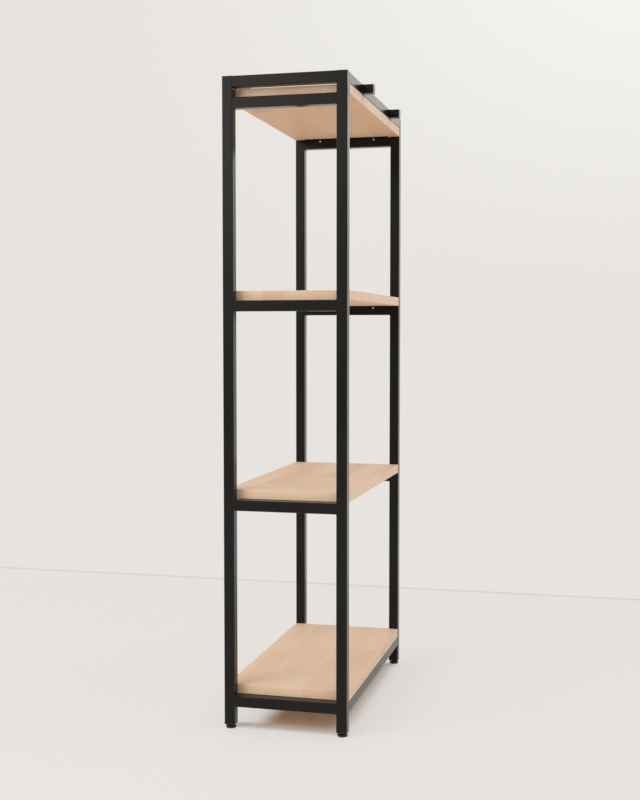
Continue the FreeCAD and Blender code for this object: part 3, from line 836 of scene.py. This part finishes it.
def makeStud(depth, side):
    node = f"{depth}_{side}_foot_stud"
    low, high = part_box(node)
    obj = newPiece("thread_" + node)
    length = stud["tip"] - stud["start"]
    runTree(obj, threadTree, {
        "Radius": stud["radius"], "Depth": stud["depth"], "Pitch": stud["pitch"], "Length": length,
        "Lead": stud["lead"], "Run Out": stud["runOut"], "Steps": stud["steps"] + 1,
        "Rings": round(length / stud["pitch"] * stud["ringsPerTurn"]), "Look": blackZincLook})
    bm = bmesh.new()
    bm.from_mesh(obj.data)
    bmesh.ops.translate(bm, verts=bm.verts, vec=(0, 0, stud["start"]))
    bmesh.ops.holes_fill(bm, edges=[edge for edge in bm.edges if edge.is_boundary], sides=0)
    radius, seat, seatEase = stud["radius"], stud["seat"], stud["seatEase"]
    collar, collarRound = stud["collar"], stud["collarRound"]
    tall, ease = stud["collarHeight"], stud["collarEase"]
    turned(bm, [
        (radius - seatEase, -seat, False), (radius, seatEase - seat, False), (radius, 0, False),
        (collarRound, 0, False), (collar, ease, True), (collar, tall - ease, True),
        (collarRound, tall, False), (stud["collarMouth"], tall, False)], stud["steps"])
    foot = (low + high) / 2
    foot.z = low.z + seat
    bmesh.ops.translate(bm, verts=bm.verts, vec=foot)
    bm.to_mesh(obj.data)
    bm.free()
    tidyMesh(obj, stud["sharpFrom"])
    settle(obj, blackZincLook, f"{depth}_{side}_stud", node)


def makePad(depth, side):
    node = f"{depth}_{side}_foot_pad"
    low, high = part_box(node)
    radius, top, hole, ease = pad["radius"], pad["height"], pad["hole"], pad["holeEase"]
    topRound, baseRound, steps = pad["topRound"], pad["baseRound"], pad["roundSteps"]
    outer, deep, slope = pad["groove"], pad["grooveDepth"], pad["grooveSlope"]
    inner = outer - pad["grooveWidth"]
    rings = [(hole, pad["holeFloor"], False), (hole, top - ease, False), (hole + ease, top, False)]
    rings += arc(radius - topRound, top - topRound, topRound, 90, 0, steps)
    rings += arc(radius - baseRound, baseRound, baseRound, 0, -90, steps)
    rings += [(outer + slope, 0, False), (outer, deep, False), (inner, deep, False),
              (inner - slope, 0, False), (pad["soleMid"], 0, False)]
    foot = (low + high) / 2
    foot.z = low.z
    obj = newPiece("disc_" + node, nylonLook)
    bm = bmesh.new()
    turned(bm, rings, pad["steps"], Matrix.Translation(foot))
    bm.to_mesh(obj.data)
    bm.free()
    tidyMesh(obj)
    evenShade(obj)
    settle(obj, nylonLook, f"{depth}_{side}_pad", node)


threadTree = makeThreadTree()
for depth, side in corners:
    makeStud(depth, side)
    makePad(depth, side)
print("feet made")

# floor and pale room
room = {
    "floorEdge": -1.60, "floorFar": 9.0, "floor": (0.885, 0.862, 0.832, 1),
    "rough": 0.62, "mirror": 0.25, "cloudScale": (1.5, 1.5, 1.5), "cloudShade": 0.985,
    "glow": (0.79, 0.765, 0.735, 1), "glowFrom": -0.045, "glowFull": 0.04, "glowShare": 0.74,
    "glowRise": 0.23, "riseFrom": 1.2, "riseFull": 2.4,
    # the box under the unit, and the warm tint of the painted shadow inside it
    "shadeEnds": 0.04, "shadeFront": 0.09, "shadeRear": 0.02, "warm": (1.0, 0.84, 0.66, 1),
    "barShade": 0.6, "barMid": 0.357, "barHalf": 0.034, "barCore": 0.0085,
    "barReach": 0.175, "barFade": 0.030,
    "joint": (0.84, 0.83, 0.82, 1), "wallLineShadeWidth": 0.050, "wall": (0.80, 0.775, 0.745, 1),
}


def makeFloor():
    edge, far = room["floorEdge"], room["floorFar"]
    obj = newPiece("studioFloor")
    obj.data.from_pydata([(edge, -far, 0), (far, -far, 0), (far, far, 0), (edge, far, 0)],
                         [], [(0, 1, 2, 3)])
    material, book = newLook("paleFloor")
    place = book.add("ShaderNodeTexCoord", out="Object")
    x, y = book.split(place)[:2]
    cloud = book.noise(place, room["cloudScale"], 3)
    tint = book.mix(cloud, room["floor"], [room["cloudShade"] * part for part in room["floor"]])
    # seen directly, the open floor is lifted to the wall's paleness, but not under the unit
    first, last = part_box("front_left_post")[0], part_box("rear_right_post")[1]
    low = first + Vector((room["shadeEnds"], room["shadeFront"], 0))
    high = last - Vector((room["shadeEnds"], room["shadeRear"], 0))
    beside = (x - high.x).most(low.x - x).most(y - high.y).most(low.y - y)
    openFloor = book.ease(beside, room["glowFrom"], room["glowFull"])
    # painted shadow: a band under each bottom crossbar where less glow is mixed in, so it shows
    # darker
    barShadowBand = book.ease(abs(abs(x) - room["barMid"]), room["barHalf"], room["barCore"])
    fromMid = abs(y - (first.y + last.y) / 2)
    barShadowBand = barShadowBand * book.ease(fromMid, room["barReach"], room["barReach"] - room["barFade"])
    # painted shade: a darker line along the floor's far edge, where it meets the wall
    atWall = book.ease(x, edge + room["wallLineShadeWidth"], edge)
    # painted shadow: a warm brown tint on the floor under the unit, for light bounced off the
    # boards
    tint = book.tinted(tint, 1 - openFloor, room["warm"])
    tint = book.tinted(tint, atWall, room["joint"])
    lit = book.add("ShaderNodeBsdfPrincipled", None, {
        "Base Color": tint, "Roughness": room["rough"], "Specular IOR Level": room["mirror"]})
    path = book.add("ShaderNodeLightPath", out="Is Camera Ray")
    seen = path + path.out("Is Glossy Ray") + path.out("Is Transmission Ray")
    away = book.ease((x * x + y * y) ** 0.5, room["riseFrom"], room["riseFull"])
    share = room["glowShare"] + away * room["glowRise"]  # no hot spots under the lamps
    share = openFloor * (1 - barShadowBand * room["barShade"]) * share * seen
    glow = book.add("ShaderNodeEmission", None, {
        "Color": book.tinted(room["glow"], atWall, room["joint"]), "Strength": 1.0})
    book.add("ShaderNodeOutputMaterial", None, {
        "Surface": book.add("ShaderNodeMixShader", None, {0: share, 1: lit, 2: glow})})
    obj.data.materials.append(material)


# what the room sends: soft light from all round, and for reflections a window and a bright far wall
sky = {
    "high": (0.95, 0.94, 0.92, 1), "highShare": 0.8,
    "highUp": (0.0, 0.30), "highBack": (-0.45, 0.05),
    "paneUp": (0.01, 0.12), "paneSide": (0.75, 0.92), "paneRim": (-0.12, -0.20), "rimLevel": 0.3,
    "paneCore": (-0.21, -0.29), "coreLevel": 2.9,
    "farUp": (0.05, 0.18), "farBack": (0.10, 0.20), "farSide": (-0.80, -0.95),
    "mirrorLevel": 0.92, "mirrorSide": 0.33, "mirrorBack": 0.35,
    "soft": (1.0, 0.985, 0.965, 1), "softLevel": 0.65, "softSide": 0.24, "softTop": 0.13,
}


def makeWorld():
    world = bpy.data.worlds.new("paleRoom")
    world.use_nodes = True
    world.node_tree.nodes.clear()
    scene.world = world
    book = NodeBook(world.node_tree)
    dx, dy, dz = book.split(book.add("ShaderNodeTexCoord", out="Generated"))
    path = book.add("ShaderNodeLightPath", out="Is Camera Ray")
    # the wall is a little brighter high up on the far side
    lift = book.ease(dz, *sky["highUp"]) * book.ease(dy, *sky["highBack"])
    wall = book.add("ShaderNodeBackground", None, {
        "Color": book.mix(lift * sky["highShare"], room["wall"], sky["high"]), "Strength": 1.0})
    rim = book.ease(dy, *sky["paneRim"]) * sky["rimLevel"]
    window = rim + book.ease(dy, *sky["paneCore"]) * sky["coreLevel"]
    window = window * book.ease(dz, *sky["paneUp"]) * book.ease(dx, *sky["paneSide"])
    farWall = book.ease(dz, *sky["farUp"]) * book.ease(dy, *sky["farBack"])
    farWall = farWall * book.ease(dx, *sky["farSide"])
    mirrored = sky["mirrorLevel"] - dx * sky["mirrorSide"] + dy * sky["mirrorBack"]
    glossy = book.add("ShaderNodeBackground", None, {
        "Color": room["wall"], "Strength": mirrored + window + farWall})
    around = sky["softLevel"] + dx * sky["softSide"] + dz * sky["softTop"]
    soft = book.add("ShaderNodeBackground", None, {"Color": sky["soft"], "Strength": around})
    shiny = book.add("ShaderNodeMixShader", None, {
        0: path.out("Is Glossy Ray"), 1: soft, 2: glossy})
    seen = path + path.out("Is Transmission Ray")
    whole = book.add("ShaderNodeMixShader", None, {0: seen, 1: shiny, 2: wall})
    book.add("ShaderNodeOutputWorld", None, {"Surface": whole})


def lookAlong(obj, way):
    obj.rotation_euler = way.to_track_quat("-Z", "Y").to_euler()


lampAim = Vector((0, 0, 0.9))
lamps = {
    "keyPanel": {"place": (3.6, -2.7, 2.2), "size": 2.4, "watts": 92, "tint": (1.0, 0.97, 0.93)},
    "sidePanel": {"place": (-1.0, 3.3, 3.7), "size": 2.2, "watts": 31, "tint": (1.0, 0.985, 0.97)},
}


def makeLamps():
    for name, lamp in lamps.items():
        light = bpy.data.lights.new(name, "AREA")
        light.shape = "SQUARE"
        light.size = lamp["size"]
        light.energy = lamp["watts"]
        light.color = lamp["tint"]
        obj = bpy.data.objects.new(name, light)
        obj.location = lamp["place"]
        obj.visible_camera = False
        obj.visible_glossy = False  # the room gives the reflections
        scene.collection.objects.link(obj)
        lookAlong(obj, lampAim - obj.location)


# camera where the photograph was taken from
shot = {"place": (3.6085, 0.8830, 1.1038), "turn": 13.981, "tilt": 3.134, "lens": 55.17,
        "sensor": 36}


def makeCamera():
    data = bpy.data.cameras.new("shotCamera")
    data.lens = shot["lens"]
    data.sensor_width = shot["sensor"]
    obj = bpy.data.objects.new("shotCamera", data)
    scene.collection.objects.link(obj)
    obj.location = shot["place"]
    turn = math.radians(shot["turn"])
    tilt = math.radians(shot["tilt"])
    level = math.cos(tilt)
    lookAlong(obj, Vector((-math.cos(turn) * level, -math.sin(turn) * level, -math.sin(tilt))))
    scene.camera = obj


makeFloor()
makeWorld()
makeLamps()
makeCamera()
scene.view_settings.view_transform = "Standard"
print("room, lamps and camera set")

# CAD pieces whose shape is right take their finish from here
cadLooks = {"_post_cap": coatLook, "_spacer_plate": coatLook, "_rivet_nuts": zincLook,
            "_foot_insert": nylonLook}
for name, obj in nodes.items():
    for ending, look in cadLooks.items():
        if name.endswith(ending):
            obj.data.materials.clear()
            obj.data.materials.append(look)
